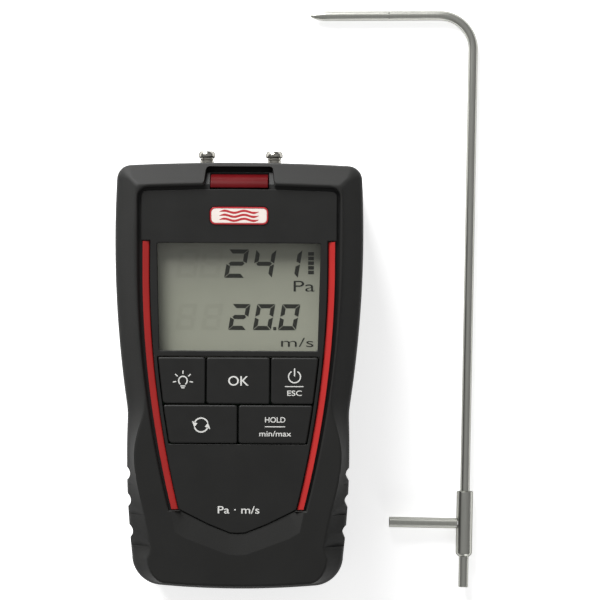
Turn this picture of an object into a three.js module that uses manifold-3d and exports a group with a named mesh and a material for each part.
// Handheld air-velocity and pressure meter in its rubber boot, with the pitot tube that feeds it.
// Millimetres. The meter lies on its back: +Z out of the display, +Y towards the pressure ports,
// +X to the display's right. The origin is the middle of the boot's back face.
import * as THREE from "three";
import { mergeVertices } from "three/addons/utils/BufferGeometryUtils.js";
import Module from "manifold-3d";

const wasm = await Module();
wasm.setup();

// ---------------------------------------------------------------- driving dimensions
const GAP = 0.3; // running or assembly gap between two pieces
const HEAD_END = 69.7; // boot's outer face at the ports' end, on the centre line
const FOOT_END = -70; // boot's outer face at the other end
const HEAD_ARC = { y: 45.6, half: 40.7, r: 370 }; // the long side arc over the display
const GRIP_ARC = { y: -25, half: 36.5, r: 304 }; // the side arc over the hand grip
const HEAD_BOW = 690; // radius of the bowed head end
const FOOT_BOW = 288; // radius of the bowed foot end
const HEAD_CORNER = 4.5; // outer corner at the head end
const FOOT_CORNER = 8.8; // outer corner at the foot end

const BACK_WALL = 2.4; // boot's back wall
const BOOT_TOP = 39; // boot's front face
// The boot's side wall, from the back to where the sloping rim starts: how far in, at which height.
const BOOT_SIDE = [
  { inset: 3, z: 0 }, { inset: 1.2, z: 1.6 }, { inset: 0.8, z: 4 },
  { inset: 0, z: 30 }, { inset: 0, z: 33 }, { inset: 0.9, z: 34.8 },
];
const SHOULDER_HEAD = 6.8; // width of the sloping rim round the display
const SHOULDER_WAIST = 3; // the same at the waist
const SHOULDER_GRIP = 6.8; // and at the finger grips
const CAVITY_SIDE_TOP = 33.1; // the boot's cavity is straight up to here, then narrows under the rim
const RIM_INSET = 7; // the rim's inner edge, from the boot's outer face
const CASE_INSET = 3.2; // case's side wall in from the boot's outer face
const CASE_WALL = 2;
const CASE_BACK = BACK_WALL + GAP;
const CASE_SPLIT = 20.4; // middle of the gasket between the two case halves
const CASE_TOP = 36.4;
const GASKET = 1;
const SCREW_R = 1.2;
const SCREW_HEAD_R = 2.3;
const BOSS_R = 2.8;
const FACE_THICK = 1.2; // front face sheet
const FACE_BACK = CASE_TOP + GAP;
const FACE_TOP = FACE_BACK + FACE_THICK;

const STRIPE_HALF = 30.3; // centre line of the red stripes, where they run straight
const STRIPE_BEND_Y = 36; // below this they lean inwards
const STRIPE_RADIUS = 323;
const STRIPE_WIDTH = 2.2;
const STRIPE_TOP_Y = 43.7;
const STRIPE_FOOT_Y = -43.6;
const FACE_TIP_Y = -51.3; // the face sheet's pointed lower end
const SCOOP_TIP_Y = -58.4; // the boot's thumb scoop below it
const FACE = { head: 60.8, half: 31.9, corner: 1.6 };
const LIP = { head: 62.2, corner: 3.2 }; // the boot's opening round the face sheet
const BADGE = { half: 9.4, y: 52.1, halfHeight: 2.75, corner: 1.2, seat: 0.7, proud: 0.2 };
const LENS = { half: 9.4, foot: 61.2, head: 65.9, front: 37.6, back: 31.4, thick: 1.5 };

const WINDOW = { top: 43.2, foot: 8.1, halfTop: 26.7, halfFoot: 25.8 };
const KEY_GAP = 0.4; // between neighbouring keys
const KEY_PROUD = 0.3; // how far a key stands above the face sheet
const KEY_TRAVEL = 0.8;
const KEY_ROWS = [{ top: 5.95, foot: -9.2 }, { top: -9.6, foot: -22.1 }];
const KEY_SPLIT_X = 10.5; // the first row is split at plus and minus this
const KEY_BACK = 35.4; // underside of the keys' caps
const KEY_POST_R = 2.2;
const SWITCH = { half: 3, body: 1.6, height: 2.2, plungerR: 1.7 };
const LCD = { half: 28.6, foot: 5.6, head: 47.4, back: 31.6, front: 33.4 };
const BACKLIGHT = { half: 27.6, foot: 7, head: 44, back: 28.8 };
const ZEBRA = { half: 25, foot: 44.8, head: 47 }; // conductive strip from the display to the board

const PORT_X = 11.2;
const PORT_Z = 17;
const PORT = { bore: 0.9, inner: 59, thread: 2.2, flange: 3.6, barb: 2.75, tip: 74, hole: 2.5 };
const NOZZLE = { x: 3.6, z: 19.4, r: 1.2, root: 40, end: 47 }; // the pressure sensor's two nozzles
const HOSE_R = 1.5;
const MAGNET = { r: 5, thick: 1.4, pocket: 1.7 };
const MAGNETS = { left: [-24, 34], right: [24, 34] };
const NOTCH = { half: 11.1, foot: 60.4, head: 68.4, floor: 29.5 }; // boot's window over the lens

const GROOVE_R = 2.6; // the finger grooves in the boot's sides
const GROOVE_DEPTH = 1.1;
const FINGER_GROOVES = [{ y: -32.3, reach: 3.4 }, { y: -41, reach: 4.2 }, { y: -51.2, reach: 6 }];

const BATTERY = { r: 5.25, length: 43.5, nubR: 2.6, nubLength: 1, pitch: 11 };
const BAY = { half: 22.3, foot: -61.7, head: -12.3, ceiling: 16.6, wall: 1.5 };
const DOOR = { half: 23.3, foot: -61.6, head: -5.6, thick: 1.8 };
const LOCK_Y = -9; // the battery door's quarter-turn lock
const LOCK = { r: 3.2, thick: 0.8, stemR: 1.3, stemTop: 6.4, holeR: 1.9, holeTop: 7.2 };
const CELL_Z = 10.6;
const PLATE = 0.4; // contact plates
const SPRING = { wide: 3.4, narrow: 2, wire: 0.3, turns: 2.5 };

const BOARD = { half: 29.4, foot: -44, head: 51.5, back: 24, thick: 1.6 };
const SCREWS = [[-30, 57.5], [30, 57.5], [-26.7, -55], [26.7, -55]];

const TUBE_R = 1.6; // pitot tube's outer radius
const TUBE_BORE = 1.1;
const INNER_TUBE = { r: 0.8, bore: 0.4 };
const COLLAR = { r: 2.75, length: 21.6 };
const OUTLET = { r: 1.65, length: 10.8 }; // total-pressure outlet, turned on the collar's lower end
const STEM = 160.6; // from the collar's upper end to the head's axis
const HEAD = 55.1; // from the stem's axis to the nose's tip
const NOSE = 5.6; // length of the ellipsoidal nose
const ELBOW = { r: 11.2, angle: THREE.MathUtils.degToRad(91.3) };
const STATIC_HOLES = { fromNose: 26.5, r: 0.35, count: 3 };
// The static nipple stands out this far below the collar's top and this far from its axis.
const STATIC_NIPPLE = { r: 1.75, bore: 0.8, below: 10.9, tip: 25.4 };
// Where the collar's top lies on the table, and how the tube is turned there.
const LAID = { x: 76, y: -39.4, turn: THREE.MathUtils.degToRad(-0.77) };

// ---------------------------------------------------------------- materials
const finish = (color, roughness, metalness = 0) =>
  new THREE.MeshStandardMaterial({ color, roughness, metalness });
const RUBBER = finish(0x333332, 0.75);
const CASE_ABS = finish(0x2b2b2b, 0.6);
const FACE_FILM = finish(0x2e2e2d, 0.5);
const KEY_RUBBER = finish(0x303030, 0.6);
const RED_ABS = finish(0xb5282c, 0.35);
const BADGE_WHITE = finish(0xf2e6dc, 0.35);
const CLEAR = finish(0xdfe4df, 0.05);
const LCD_GREY = finish(0x8f9282, 0.25);
const LIGHT_GUIDE = finish(0xe8e8e0, 0.4);
const SILICONE = finish(0x1d1d1d, 0.6);
const BOARD_GREEN = finish(0x1f5a35, 0.5);
const CHIP_EPOXY = finish(0x181818, 0.5);
const NICKEL = finish(0xc9c7c2, 0.2, 1);
const STEEL = finish(0x9b9b96, 0.3, 1);
const CELL_WRAP = finish(0x6d7276, 0.35);

// ---------------------------------------------------------------- solids
const toSolid = (geometry) => {
  const bare = geometry.clone();
  bare.deleteAttribute("normal");
  bare.deleteAttribute("uv");
  const merged = mergeVertices(bare, 1e-4);
  return new wasm.Manifold(new wasm.Mesh({
    numProp: 3,
    vertProperties: merged.attributes.position.array,
    triVerts: new Uint32Array(merged.index.array),
  }));
};
const toGeometry = (solid) => {
  const { vertProperties, triVerts, numProp } = solid.getMesh();
  const count = vertProperties.length / numProp;
  const position = new Float32Array(count * 3);
  for (let i = 0; i < count; i++) {
    position.set(vertProperties.subarray(i * numProp, i * numProp + 3), i * 3);
  }
  return new THREE.BufferGeometry()
    .setAttribute("position", new THREE.BufferAttribute(position, 3))
    .setIndex(new THREE.BufferAttribute(triVerts, 1));
};
const cut = (solid, ...tools) => tools.reduce((left, tool) => left.subtract(tool), solid);
const join = (solid, ...others) => others.reduce((left, other) => left.add(other), solid);

// A box between two corners.
const box = (x0, x1, y0, y1, z0, z1) =>
  toSolid(new THREE.BoxGeometry(x1 - x0, y1 - y0, z1 - z0)
    .translate((x0 + x1) / 2, (y0 + y1) / 2, (z0 + z1) / 2));

// An outline in X and Y, raised from z0 to z1.
const prism = (points, z0, z1) =>
  toSolid(new THREE.ExtrudeGeometry(new THREE.Shape(points), { depth: z1 - z0, bevelEnabled: false })
    .translate(0, 0, z0));

// A round bar along Z.
const bar = (x, y, r, z0, z1, sides = 14) =>
  toSolid(new THREE.CylinderGeometry(r, r, z1 - z0, sides)
    .rotateX(Math.PI / 2).translate(x, y, (z0 + z1) / 2));

// A turned piece about the Y axis through (x, z). The profile is a list of [radius, y], and closes on
// itself round a bore or starts and ends on the axis.
const turned = (profile, x, z, sides = 16) =>
  toSolid(new THREE.LatheGeometry(profile.map(([r, y]) => new THREE.Vector2(r, y)), sides)
    .translate(x, 0, z));

// A closed stack of rings, each a list of points with its height. All rings have as many points.
const loft = (rings) => {
  const count = rings[0].points.length;
  const position = rings.flatMap(({ points, z }) => points.flatMap((p) => [p.x, p.y, z]));
  const index = [];
  for (let level = 0; level < rings.length - 1; level++) {
    for (let i = 0; i < count; i++) {
      const a = level * count + i;
      const b = level * count + ((i + 1) % count);
      index.push(a, b, b + count, a, b + count, a + count);
    }
  }
  const cap = (level, flip) => {
    for (const [a, b, c] of THREE.ShapeUtils.triangulateShape(rings[level].points, [])) {
      index.push(...(flip ? [a, c, b] : [a, b, c]).map((i) => i + level * count));
    }
  };
  cap(0, true);
  cap(rings.length - 1, false);
  const geometry = new THREE.BufferGeometry()
    .setAttribute("position", new THREE.Float32BufferAttribute(position, 3))
    .setIndex(index);
  return toSolid(geometry);
};

const parts = new THREE.Group();
const add = (name, solid, material, group = parts) => {
  const mesh = new THREE.Mesh(toGeometry(solid), material);
  mesh.name = name;
  group.add(mesh);
};

// ---------------------------------------------------------------- outlines
const arcX = (arc, y) => arc.half - (y - arc.y) ** 2 / (2 * arc.r);
const halfWidth = (y) => Math.max(arcX(HEAD_ARC, y), arcX(GRIP_ARC, y));
const headY = (x) => HEAD_END - x ** 2 / (2 * HEAD_BOW);
const footY = (x) => FOOT_END + x ** 2 / (2 * FOOT_BOW);
const mirror = (half) =>
  [...half, ...half.slice(1, -1).reverse().map((p) => new THREE.Vector2(-p.x, p.y))];
const QUARTER_ROUND = 0.5523; // a Bezier curve with this fullness is close to a quarter circle
const roundCorner = (from, corner, to, steps) => {
  const leave = from.clone().lerp(corner, QUARTER_ROUND);
  const arrive = to.clone().lerp(corner, QUARTER_ROUND);
  return new THREE.CubicBezierCurve(from, leave, arrive, to).getPoints(steps);
};

// The boot's outline moved inwards by inset, which may change with y. Half of it runs from the foot's
// middle up the right side to the head's middle.
const bodyOutline = (inset) => {
  const at = typeof inset === "function" ? inset : () => inset;
  const side = (y) => new THREE.Vector2(halfWidth(y) - at(y), y);
  const footInset = at(FOOT_END);
  const headInset = at(HEAD_END);
  const footR = Math.max(FOOT_CORNER - footInset, 1.5);
  const headR = Math.max(HEAD_CORNER - headInset, 1);
  const footCornerY = footY(halfWidth(FOOT_END)) + footInset;
  const headCornerY = headY(halfWidth(HEAD_END)) - headInset;
  const footX = side(FOOT_END + footR).x - footR;
  const headX = side(HEAD_END).x - headR;
  const endSteps = [0, 0.25, 0.5, 0.75];
  const sideSteps = Array.from({ length: 13 }, (_, i) => (i + 1) / 14);
  const footPoint = (x) => new THREE.Vector2(x, footY(x) + footInset);
  const headPoint = (x) => new THREE.Vector2(x, headY(x) - headInset);
  const footTo = side(footCornerY + footR);
  const headFrom = side(headCornerY - headR);
  const headTo = headPoint(headX);
  return mirror([
    ...endSteps.map((t) => footPoint(footX * t)),
    ...roundCorner(footPoint(footX), new THREE.Vector2(footTo.x, footCornerY), footTo, 6),
    ...sideSteps.map((t) => side(footTo.y + (headFrom.y - footTo.y) * t)),
    ...roundCorner(headFrom, new THREE.Vector2(headFrom.x, headTo.y), headTo, 4),
    ...endSteps.toReversed().map((t) => headPoint(headX * t)),
  ]);
};

const stripeX = (y) => STRIPE_HALF - Math.max(0, STRIPE_BEND_Y - y) ** 2 / (2 * STRIPE_RADIUS);
const lipX = (y) => stripeX(y) + 2.25 + 0.0075 * y; // the boot's inner lip, a little wider at the head
const alongSide = (edge, fromY, toY, steps) =>
  Array.from({ length: steps + 1 }, (_, i) => fromY + ((toY - fromY) * i) / steps)
    .map((y) => new THREE.Vector2(edge(y), y));

const faceSideX = (y) => stripeX(y) - STRIPE_WIDTH / 2 - GAP;

// The pointed lower end of the face sheet, from its tip to the stripe's foot.
const pointedFoot = (tipY, sideX, sideY, flat) => [
  new THREE.Vector2(0, tipY),
  new THREE.Vector2(flat, tipY + 0.06 * flat),
  new THREE.Vector2(sideX / 2, (tipY + sideY) / 2 - 0.9),
  new THREE.Vector2(sideX, sideY),
];

// ---------------------------------------------------------------- rubber boot
// The sloping rim is wide round the display, narrow at the waist and wide again at the finger grips.
const shoulder = (y) => SHOULDER_WAIST +
  (SHOULDER_HEAD - SHOULDER_WAIST) * THREE.MathUtils.smoothstep(y, -26, -4) +
  (SHOULDER_GRIP - SHOULDER_WAIST) *
    (THREE.MathUtils.smoothstep(-y, 26, 56) - 1.35 * THREE.MathUtils.smoothstep(-y, 56, 66));
const bootBlock = loft([
  ...BOOT_SIDE.map(({ inset, z }) => ({ points: bodyOutline(inset), z })),
  { points: bodyOutline(shoulder), z: BOOT_TOP },
]);
const caseCavity = loft([
  { points: bodyOutline(CASE_INSET - GAP), z: BACK_WALL },
  { points: bodyOutline(CASE_INSET - GAP), z: CAVITY_SIDE_TOP },
  { points: bodyOutline(RIM_INSET), z: CASE_TOP + GAP },
]);
const lipHeadFrom = new THREE.Vector2(lipX(LIP.head - LIP.corner), LIP.head - 0.9 - LIP.corner);
const lipHeadTo = new THREE.Vector2(lipX(LIP.head) - LIP.corner, LIP.head - 0.7);
const lipOpening = mirror([
  ...pointedFoot(FACE_TIP_Y - 0.4, faceSideX(STRIPE_FOOT_Y), STRIPE_FOOT_Y - 0.4, 2.5),
  ...alongSide(lipX, STRIPE_FOOT_Y - 0.4, lipHeadFrom.y - 4, 10),
  ...roundCorner(lipHeadFrom, new THREE.Vector2(lipHeadFrom.x, lipHeadTo.y), lipHeadTo, 4),
  new THREE.Vector2(12, LIP.head - 0.15),
  new THREE.Vector2(0, LIP.head),
]);
// The thumb scoop is the face sheet's pointed end grown outwards: its floor rises from one to the other.
const scoopShape = (tipY, cornerX, cornerY, topX, flat) => mirror([
  new THREE.Vector2(0, tipY),
  new THREE.Vector2(flat, tipY + 0.06 * flat),
  new THREE.Vector2(cornerX - 3.4, cornerY - 2.1),
  new THREE.Vector2(cornerX, cornerY),
  new THREE.Vector2(topX, STRIPE_FOOT_Y - 0.6),
  new THREE.Vector2(0, STRIPE_FOOT_Y - 0.6),
]);
const scoop = loft([
  { points: scoopShape(FACE_TIP_Y - 0.4, 17, -45, 20.9, 2.5), z: FACE_TOP - 0.35 },
  { points: scoopShape(SCOOP_TIP_Y, 20.3, -50.9, 21.6, 3), z: BOOT_TOP },
  { points: scoopShape(SCOOP_TIP_Y, 20.3, -50.9, 21.6, 3), z: BOOT_TOP + 3 },
]);
const notch = prism([
  new THREE.Vector2(-NOTCH.half, NOTCH.foot), new THREE.Vector2(NOTCH.half, NOTCH.foot),
  ...roundCorner(new THREE.Vector2(NOTCH.half, NOTCH.head - 1.2), new THREE.Vector2(NOTCH.half, NOTCH.head),
    new THREE.Vector2(NOTCH.half - 1.2, NOTCH.head), 3),
  ...roundCorner(new THREE.Vector2(1.2 - NOTCH.half, NOTCH.head),
    new THREE.Vector2(-NOTCH.half, NOTCH.head), new THREE.Vector2(-NOTCH.half, NOTCH.head - 1.2), 3),
], NOTCH.floor, BOOT_TOP + 1);
const portOpening = box(-PORT_X - 6.5, PORT_X + 6.5, 64, 72, PORT_Z - 8, PORT_Z + 8);
const doorWindow = box(
  -DOOR.half - 2, DOOR.half + 2, DOOR.foot - 1.5, DOOR.head + 1.5, -1, BACK_WALL + 1);
// Three finger grooves on each side: each runs up the side wall, then leans in over the sloping rim.
const grooves = FINGER_GROOVES.flatMap(({ y, reach }) => [-1, 1].map((side) => {
  const wall = halfWidth(y) + GROOVE_R - GROOVE_DEPTH;
  const overRim = new THREE.CylinderGeometry(4, 4, 40, 18).rotateX(Math.PI / 2)
    .rotateY(-side * Math.PI / 4).rotateX(0.12)
    .translate(side * (halfWidth(y) - reach + 5.1), y - 2.6, BOOT_TOP + 2.1);
  return join(bar(side * wall, y, GROOVE_R, -1, BOOT_TOP + 1, 20), toSolid(overRim));
}));
const magnetPocket = (x, y) => bar(x, y, MAGNET.r + GAP, -1, MAGNET.pocket, 18);
const boot = cut(bootBlock, caseCavity, prism(lipOpening, CASE_TOP, BOOT_TOP + 1), scoop, notch,
  portOpening, doorWindow, ...grooves, ...Object.values(MAGNETS).map(([x, y]) => magnetPocket(x, y)));
add("protective_boot", boot, RUBBER);
for (const [side, [x, y]] of Object.entries(MAGNETS)) {
  add(`boot_magnet_${side}`, bar(x, y, MAGNET.r, 0, MAGNET.thick, 18), NICKEL);
}

// ---------------------------------------------------------------- case halves, gasket and screws
const rearTop = CASE_SPLIT - GASKET / 2 - GAP;
const frontFoot = CASE_SPLIT + GASKET / 2 + GAP;
const innerInset = CASE_INSET + CASE_WALL;
const boss = (z0, z1) => SCREWS.map(([x, y]) => bar(x, y, BOSS_R, z0, z1));
const screwHoles = (r, z0, z1) => SCREWS.map(([x, y]) => bar(x, y, r, z0, z1));

const rearShell = cut(
  loft([
    { points: bodyOutline(CASE_INSET + 1.5), z: CASE_BACK },
    { points: bodyOutline(CASE_INSET), z: CASE_BACK + 1.5 },
    { points: bodyOutline(CASE_INSET), z: rearTop },
  ]),
  loft([
    { points: bodyOutline(innerInset), z: CASE_BACK + CASE_WALL },
    { points: bodyOutline(innerInset), z: rearTop + 1 },
  ]),
);
const bayOuter = box(-BAY.half - BAY.wall, BAY.half + BAY.wall, BAY.foot - BAY.wall, BAY.head + BAY.wall,
  CASE_BACK + 1, BAY.ceiling + BAY.wall);
const bayInner = box(-BAY.half, BAY.half, BAY.foot, BAY.head, 0, BAY.ceiling);
const doorSeat = box(-DOOR.half - GAP, DOOR.half + GAP, DOOR.foot - GAP, DOOR.head + GAP,
  0, CASE_BACK + DOOR.thick + GAP);
const lockSeat = box(-7, 7, BAY.head, DOOR.head + 1.5, CASE_BACK + 1, 8.5);
const lockHole = bar(0, LOCK_Y, LOCK.holeR, 0, LOCK.holeTop);
const portHole = (x) => turned([[0, 60], [PORT.hole, 60], [PORT.hole, 68], [0, 68]], x, PORT_Z, 16);
const rearHousing = cut(
  join(rearShell, bayOuter, lockSeat, ...boss(CASE_BACK + 1, rearTop)),
  bayInner, doorSeat, lockHole, portHole(-PORT_X), portHole(PORT_X),
  ...screwHoles(SCREW_R + GAP, 0, 30), ...screwHoles(SCREW_HEAD_R + GAP, 0, 5.2),
);
add("rear_housing", rearHousing, CASE_ABS);

const windowShape = (grow) => [
  new THREE.Vector2(-WINDOW.halfFoot - grow, WINDOW.foot - grow),
  new THREE.Vector2(WINDOW.halfFoot + grow, WINDOW.foot - grow),
  new THREE.Vector2(WINDOW.halfTop + grow, WINDOW.top + grow),
  new THREE.Vector2(-WINDOW.halfTop - grow, WINDOW.top + grow),
];
const keySideX = (y) => stripeX(y) - STRIPE_WIDTH / 2 - 1.6;
const keypadShape = (grow) => mirror([
  new THREE.Vector2(0, KEY_ROWS[1].foot - grow),
  ...alongSide((y) => keySideX(y) + grow, KEY_ROWS[1].foot - grow, KEY_ROWS[0].top + grow, 3),
  new THREE.Vector2(0, KEY_ROWS[0].top + grow),
]);
const frontShell = cut(
  loft([
    { points: bodyOutline(CASE_INSET), z: frontFoot },
    { points: bodyOutline(CASE_INSET), z: 33 },
    { points: bodyOutline(7.2), z: CASE_TOP },
  ]),
  loft([
    { points: bodyOutline(innerInset), z: frontFoot - 1 },
    { points: bodyOutline(innerInset), z: 32 },
    { points: bodyOutline(8), z: CASE_TOP - CASE_WALL },
  ]),
);
const frontHousing = cut(
  join(frontShell, ...boss(frontFoot, CASE_TOP - 1)),
  ...screwHoles(SCREW_R + GAP, 0, 31.5),
  prism(windowShape(2.3), 30, 40), prism(keypadShape(GAP), 30, 40),
  box(-LENS.half - GAP, LENS.half + GAP, LENS.foot - 1.8, 70, LENS.back - 0.6, 40),
);
add("front_housing", frontHousing, CASE_ABS);

const slab = (inset, z0, z1) =>
  loft([{ points: bodyOutline(inset), z: z0 }, { points: bodyOutline(inset), z: z1 }]);
const gasketFoot = CASE_SPLIT - GASKET / 2;
const gasketTop = CASE_SPLIT + GASKET / 2;
const gasketHole = slab(innerInset - GAP, gasketFoot - 1, gasketTop + 1);
add("case_gasket", cut(slab(CASE_INSET + GAP, gasketFoot, gasketTop), gasketHole), SILICONE);
SCREWS.forEach(([x, y], i) => {
  const head = bar(x, y, SCREW_HEAD_R, CASE_BACK + 0.2, 4.9);
  const shank = bar(x, y, SCREW_R, 4.5, 30);
  const slots = [
    box(x - 1.6, x + 1.6, y - 0.3, y + 0.3, 0, 3.9),
    box(x - 0.3, x + 0.3, y - 1.6, y + 1.6, 0, 3.9),
  ];
  add(`case_screw_${i + 1}`, cut(join(head, shank), ...slots), STEEL);
});

// ---------------------------------------------------------------- face sheet, stripes, lens and badge
const faceOutline = mirror([
  ...pointedFoot(FACE_TIP_Y, faceSideX(STRIPE_FOOT_Y), STRIPE_FOOT_Y, 2.5),
  ...alongSide(faceSideX, STRIPE_FOOT_Y + 4, STRIPE_TOP_Y + GAP, 8),
  new THREE.Vector2(FACE.half, STRIPE_TOP_Y + GAP),
  ...roundCorner(new THREE.Vector2(FACE.half, FACE.head - 2.4),
    new THREE.Vector2(FACE.half, FACE.head - 0.8),
    new THREE.Vector2(FACE.half - FACE.corner, FACE.head - 0.7), 3),
  new THREE.Vector2(12, FACE.head - 0.1),
  new THREE.Vector2(0, FACE.head),
]);
const badgeShape = (grow) => {
  const w = BADGE.half + grow;
  const h = BADGE.halfHeight + grow;
  const r = BADGE.corner + grow;
  const foot = new THREE.Vector2(w, BADGE.y - h);
  const head = new THREE.Vector2(w, BADGE.y + h);
  return mirror([
    new THREE.Vector2(0, foot.y),
    ...roundCorner(new THREE.Vector2(w - r, foot.y), foot, new THREE.Vector2(w, foot.y + r), 3),
    ...roundCorner(new THREE.Vector2(w, head.y - r), head, new THREE.Vector2(w - r, head.y), 3),
    new THREE.Vector2(0, head.y),
  ]);
};
const badgeSeat = FACE_TOP - BADGE.seat;
const faceSheet = cut(
  prism(faceOutline, FACE_BACK, FACE_TOP),
  prism(windowShape(GAP), 30, 40),
  prism(keypadShape(GAP), 30, 40),
  prism(badgeShape(GAP), badgeSeat, 40),
);
add("face_sheet", faceSheet, FACE_FILM);
add("name_badge", prism(badgeShape(0), badgeSeat + GAP, FACE_TOP + BADGE.proud), BADGE_WHITE);

const stripeOutline = (side) => {
  const edge = (offset, ys) => ys.map((y) => new THREE.Vector2(side * (stripeX(y) + offset), y));
  const ys = Array.from({ length: 11 }, (_, i) =>
    THREE.MathUtils.lerp(STRIPE_FOOT_Y, STRIPE_TOP_Y, i / 10));
  return [...edge(STRIPE_WIDTH / 2, ys), ...edge(-STRIPE_WIDTH / 2, ys).reverse()];
};
for (const [name, side] of [["left", -1], ["right", 1]]) {
  add(`red_stripe_${name}`, prism(stripeOutline(side), FACE_BACK, FACE_TOP + 0.2), RED_ABS);
}

// The lens is a curved strip over the case's head edge, drawn in Y and Z and extruded along X.
const lensArc = (inward) => Array.from({ length: 7 }, (_, i) => (Math.PI / 2) * (i / 6)).map((a) =>
  new THREE.Vector2(LENS.foot + (LENS.head - inward - LENS.foot) * Math.sin(a),
    LENS.back + (LENS.front - inward - LENS.back) * Math.cos(a)));
const lensSection = new THREE.Shape([...lensArc(0), ...lensArc(LENS.thick).reverse()]);
const lensStrip = new THREE.ExtrudeGeometry(lensSection, { depth: 2 * LENS.half, bevelEnabled: false })
  .rotateY(Math.PI / 2).rotateX(Math.PI / 2).translate(-LENS.half, 0, 0);
add("indicator_lens", toSolid(lensStrip), RED_ABS);

// ---------------------------------------------------------------- display
const boardTop = BOARD.back + BOARD.thick + GAP; // where what sits on the board starts
add("display_window", prism(windowShape(0), FACE_BACK, FACE_TOP - 0.1), CLEAR);
const bezel = cut(prism(windowShape(1.4), LCD.front + GAP, CASE_TOP), prism(windowShape(0.4), 30, 40));
add("lcd_bezel", bezel, CASE_ABS);
add("lcd_panel", box(-LCD.half, LCD.half, LCD.foot, LCD.head, LCD.back, LCD.front), LCD_GREY);
const backlight = box(-BACKLIGHT.half, BACKLIGHT.half, BACKLIGHT.foot, BACKLIGHT.head,
  BACKLIGHT.back, LCD.back - GAP);
add("backlight_panel", backlight, LIGHT_GUIDE);
const zebra = box(-ZEBRA.half, ZEBRA.half, ZEBRA.foot, ZEBRA.head, boardTop, LCD.back - GAP);
add("lcd_connector_strip", zebra, SILICONE);

// ---------------------------------------------------------------- keys and the switches below them
const switchTop = boardTop + SWITCH.height;
const KEYS = {
  light: { row: 0, from: null, to: -KEY_SPLIT_X },
  ok: { row: 0, from: -KEY_SPLIT_X, to: KEY_SPLIT_X },
  power: { row: 0, from: KEY_SPLIT_X, to: null },
  select: { row: 1, from: null, to: 0 },
  hold: { row: 1, from: 0, to: null },
};
for (const [name, { row, from, to }] of Object.entries(KEYS)) {
  const { top, foot } = KEY_ROWS[row];
  const leftAt = (y) => (from === null ? -keySideX(y) : from + KEY_GAP / 2);
  const rightAt = (y) => (to === null ? keySideX(y) : to - KEY_GAP / 2);
  const cap = [
    new THREE.Vector2(leftAt(foot), foot), new THREE.Vector2(rightAt(foot), foot),
    new THREE.Vector2(rightAt(top), top), new THREE.Vector2(leftAt(top), top),
  ];
  const x = (leftAt((top + foot) / 2) + rightAt((top + foot) / 2)) / 2;
  const y = (top + foot) / 2;
  const post = bar(x, y, KEY_POST_R, switchTop + KEY_TRAVEL + GAP, KEY_BACK + 0.5);
  add(`key_${name}`, join(prism(cap, KEY_BACK, FACE_TOP + KEY_PROUD), post), KEY_RUBBER);
  const switchBody = box(x - SWITCH.half, x + SWITCH.half, y - SWITCH.half, y + SWITCH.half,
    boardTop, boardTop + SWITCH.body);
  const plunger = bar(x, y, SWITCH.plungerR, boardTop + 1, switchTop);
  add(`switch_${name}`, join(switchBody, plunger), NICKEL);
}

// ---------------------------------------------------------------- board and what is on it
const boardSlab = box(-BOARD.half, BOARD.half, BOARD.foot, BOARD.head,
  BOARD.back, BOARD.back + BOARD.thick);
const boardCorners = [
  box(-BOARD.half - 1, -BOARD.half + 3, 47, 53, 20, 30),
  box(BOARD.half - 3, BOARD.half + 1, 47, 53, 20, 30),
];
add("main_board", cut(boardSlab, ...boardCorners), BOARD_GREEN);
const underBoard = BOARD.back - GAP;
add("processor_chip", box(-6, 6, 8, 20, underBoard - 1.4, underBoard), CHIP_EPOXY);
const nozzle = (x) => turned(
  [[0, NOZZLE.root], [NOZZLE.r, NOZZLE.root], [NOZZLE.r, NOZZLE.end], [0, NOZZLE.end]],
  x, NOZZLE.z, 10);
const sensorBody = box(-8, 8, 30, 42, 16.4, underBoard);
add("pressure_sensor", join(sensorBody, nozzle(-NOZZLE.x), nozzle(NOZZLE.x)), CHIP_EPOXY);
add("indicator_led", box(-1.6, 1.6, 48.6, 50.8, boardTop, 27.8), LIGHT_GUIDE);

// ---------------------------------------------------------------- pressure ports and their hoses
const portProfile = [
  [PORT.bore, PORT.inner], [1.5, PORT.inner], [1.5, 60.6], [PORT.thread, 60.6],
  [PORT.thread, 67.7], [PORT.flange, 67.7], [PORT.flange, 68.6], [PORT.thread, 68.6],
  [PORT.thread, 71.8], [PORT.barb, 72.1], [PORT.barb, 73.1], [2.3, PORT.tip],
  [PORT.bore, PORT.tip], [PORT.bore, PORT.inner],
];
const washer = (rIn, rOut, y0, y1, x, sides) => turned(
  [[rIn, y0], [rOut, y0], [rOut, y1], [rIn, y1], [rIn, y0]], x, PORT_Z, sides);
for (const [name, side] of [["positive", -1], ["negative", 1]]) {
  const x = side * PORT_X;
  add(`port_${name}`, turned(portProfile, x, PORT_Z, 18), NICKEL);
  add(`port_seal_${name}`, washer(PORT.thread + GAP, 3.5, 66.7, 67.4, x, 14), SILICONE);
  const hexagon = turned([[0, 61.4], [4.4, 61.4], [4.4, 63.8], [0, 63.8]], x, PORT_Z, 6);
  const nutHole = turned([[0, 60], [PORT.hole, 60], [PORT.hole, 65], [0, 65]], x, PORT_Z, 14);
  add(`port_nut_${name}`, cut(hexagon, nutHole), NICKEL);
  const hoseEnd = PORT.inner - GAP;
  const route = new THREE.CubicBezierCurve3(
    new THREE.Vector3(side * NOZZLE.x, NOZZLE.end + GAP, NOZZLE.z),
    new THREE.Vector3(side * NOZZLE.x, NOZZLE.end + 5, NOZZLE.z),
    new THREE.Vector3(x, hoseEnd - 5, PORT_Z),
    new THREE.Vector3(x, hoseEnd, PORT_Z),
  );
  const section = new THREE.Shape().absarc(0, 0, HOSE_R, 0, 2 * Math.PI);
  const hose = new THREE.ExtrudeGeometry(section, { steps: 10, curveSegments: 4, extrudePath: route });
  add(`sensor_hose_${name}`, toSolid(hose), SILICONE);
}

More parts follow.
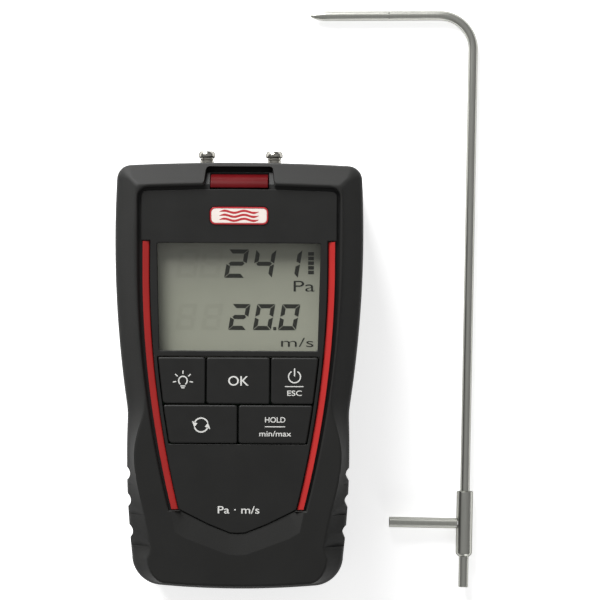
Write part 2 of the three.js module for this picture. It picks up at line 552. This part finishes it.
// ---------------------------------------------------------------- battery door, cells and contacts
const doorFront = CASE_BACK + DOOR.thick;
add("battery_door", cut(
  box(-DOOR.half, DOOR.half, DOOR.foot, DOOR.head, CASE_BACK, doorFront),
  bar(0, LOCK_Y, LOCK.r + GAP, 0, CASE_BACK + LOCK.thick + GAP),
  bar(0, LOCK_Y, LOCK.stemR + GAP, 0, 9),
  box(-8, 8, -19.3, -18.3, 0, CASE_BACK + 0.6),
  box(-8, 8, -21.3, -20.3, 0, CASE_BACK + 0.6),
), CASE_ABS);
const lockHead = bar(0, LOCK_Y, LOCK.r, CASE_BACK - 0.1, CASE_BACK + LOCK.thick, 20);
const lockStem = bar(0, LOCK_Y, LOCK.stemR, CASE_BACK + 0.5, LOCK.stemTop);
const coinSlot = box(-2.4, 2.4, LOCK_Y - 0.4, LOCK_Y + 0.4, 0, CASE_BACK + 0.4);
add("door_lock", cut(join(lockHead, lockStem), coinSlot), NICKEL);

const headPlateY = BAY.head - 0.2 - PLATE;
const footPlateY = BAY.foot + 0.2;
// A conical spring about an axis along Y, wound from its wide end to its narrow end.
const coneSpring = (x, from, to) => {
  const steps = 24;
  const points = Array.from({ length: steps + 1 }, (_, i) => i / steps).map((t) => {
    const a = t * SPRING.turns * 2 * Math.PI;
    const r = THREE.MathUtils.lerp(SPRING.wide, SPRING.narrow, t);
    const y = THREE.MathUtils.lerp(from, to, t);
    return new THREE.Vector3(x + r * Math.cos(a), y, CELL_Z + r * Math.sin(a));
  });
  const wire = new THREE.Shape().absarc(0, 0, SPRING.wire, 0, 2 * Math.PI);
  const extrudePath = new THREE.CatmullRomCurve3(points);
  return toSolid(new THREE.ExtrudeGeometry(wire, { steps: 28, curveSegments: 2, extrudePath }));
};
for (let i = 0; i < 4; i++) {
  const x = (i - 1.5) * BATTERY.pitch;
  const towards = i % 2 ? -1 : 1; // the positive end points to the head on every other cell
  const nubY = towards > 0 ? headPlateY - GAP : footPlateY + PLATE + GAP;
  const shoulderY = nubY - towards * BATTERY.nubLength;
  const endY = shoulderY - towards * BATTERY.length;
  const profile = [
    [0, endY], [BATTERY.r, endY], [BATTERY.r, shoulderY],
    [BATTERY.nubR, shoulderY], [BATTERY.nubR, nubY], [0, nubY],
  ];
  const cell = turned(towards > 0 ? profile : profile.reverse(), x, CELL_Z, 18);
  add(`battery_${i + 1}`, cell, CELL_WRAP);
  const springGap = SPRING.wire + GAP + 0.05;
  const seatY = towards > 0 ? footPlateY + PLATE + springGap : headPlateY - springGap;
  add(`battery_spring_${i + 1}`, coneSpring(x, seatY, endY - towards * springGap), STEEL);
}
const contact = (x0, x1, y) => box(x0, x1, y, y + PLATE, 6, 15.5);
add("contact_head_left", contact(-21.5, -0.6, headPlateY), NICKEL);
add("contact_head_right", contact(0.6, 21.5, headPlateY), NICKEL);
add("contact_foot", contact(-10.5, 10.5, footPlateY), NICKEL);

// ---------------------------------------------------------------- pitot tube, lying beside the meter
// It rests on its collar's upper end and its head, so its stem leans a little from one to the other.
// Inside this group the collar's upper end is the origin, the stem runs along Y and the head towards -X.
const pitot = new THREE.Group();
pitot.position.set(LAID.x, LAID.y, COLLAR.r);
pitot.rotation.order = "ZXY";
pitot.rotation.z = LAID.turn;
pitot.rotation.x = -Math.asin((COLLAR.r - TUBE_R) / STEM);
parts.add(pitot);

// The elbow turns a little past a right angle. Its ends follow from where its two straight runs cross.
const elbowReach = ELBOW.r * Math.tan(ELBOW.angle / 2);
const elbowFoot = STEM - elbowReach;
class Elbow extends THREE.Curve {
  getPoint(t, target = new THREE.Vector3()) {
    const a = t * ELBOW.angle;
    return target.set(ELBOW.r * (Math.cos(a) - 1), elbowFoot + ELBOW.r * Math.sin(a), 0);
  }
}
const elbow = new Elbow();
// The head is drawn along +X from the nose's tip at 0 and moved to its place by this frame.
const headDirection = new THREE.Vector3(-Math.sin(ELBOW.angle), Math.cos(ELBOW.angle), 0);
const headFrame = new THREE.Matrix4().makeRotationZ(ELBOW.angle - Math.PI / 2)
  .setPosition(new THREE.Vector3(0, STEM, 0).addScaledVector(headDirection, HEAD));
const inHead = (geometry) => toSolid(geometry.applyMatrix4(headFrame));
const barX = (r, x0, x1, sides) =>
  new THREE.CylinderGeometry(r, r, x1 - x0, sides).rotateZ(Math.PI / 2).translate((x0 + x1) / 2, 0, 0);
// Stem, elbow and head in one round bar. The straight parts reach a little way into the elbow.
const bentBar = (r, footY0, fromTip, sides) => {
  const section = new THREE.Shape().absarc(0, 0, r, 0, 2 * Math.PI);
  const lap = 0.1;
  return join(
    turned([[0, footY0], [r, footY0], [r, elbowFoot + lap], [0, elbowFoot + lap]], 0, 0, sides),
    toSolid(new THREE.ExtrudeGeometry(section, { steps: 9, curveSegments: sides / 2, extrudePath: elbow })),
    inHead(barX(r, fromTip, HEAD - elbowReach + lap, sides)),
  );
};
const socketFoot = -3; // the stem is soldered this far into the collar
const nose = inHead(new THREE.SphereGeometry(TUBE_R, 16, 12).rotateZ(Math.PI / 2)
  .scale(NOSE / TUBE_R, 1, 1).translate(NOSE, 0, 0));
const staticHoles = Array.from({ length: STATIC_HOLES.count }, (_, i) =>
  inHead(new THREE.CylinderGeometry(STATIC_HOLES.r, STATIC_HOLES.r, 3 * TUBE_R, 8)
    .rotateX((i * Math.PI) / STATIC_HOLES.count + 0.5).translate(STATIC_HOLES.fromNose, 0, 0)));
add("pitot_outer_tube", cut(join(bentBar(TUBE_R, socketFoot, NOSE, 16), nose),
  bentBar(TUBE_BORE, socketFoot - 1, -1, 10), ...staticHoles), STEEL, pitot);
const innerFoot = 2 - COLLAR.length;
add("pitot_inner_tube", cut(bentBar(INNER_TUBE.r, innerFoot, 1.3, 10),
  bentBar(INNER_TUBE.bore, innerFoot - 1, -1, 6)), STEEL, pitot);
const outletFoot = -COLLAR.length - OUTLET.length;
const collarBody = turned([
  [TUBE_R + GAP, 0], [TUBE_R + GAP, socketFoot - GAP], [INNER_TUBE.r + GAP, socketFoot - GAP],
  [INNER_TUBE.r + GAP, innerFoot - GAP], [0.5, innerFoot - GAP], [0.5, outletFoot], [OUTLET.r, outletFoot],
  [OUTLET.r, -COLLAR.length - 0.6], [COLLAR.r - 0.4, -COLLAR.length], [COLLAR.r, 0.8 - COLLAR.length],
  [COLLAR.r, 0], [TUBE_R + GAP, 0],
], 0, 0, 20);
const acrossCollar = (r, x0, x1) => toSolid(barX(r, x0, x1, 16).translate(0, -STATIC_NIPPLE.below, 0));
const nippleSeat = 0.7 - COLLAR.r;
add("pitot_collar", cut(collarBody, acrossCollar(STATIC_NIPPLE.r + GAP, -COLLAR.r - 1, nippleSeat),
  acrossCollar(0.7, nippleSeat - 1, -0.2)), STEEL, pitot);
add("pitot_static_nipple", cut(acrossCollar(STATIC_NIPPLE.r, -STATIC_NIPPLE.tip, nippleSeat - GAP),
  acrossCollar(STATIC_NIPPLE.bore, -STATIC_NIPPLE.tip - 1, 0)), STEEL, pitot);

export default parts;
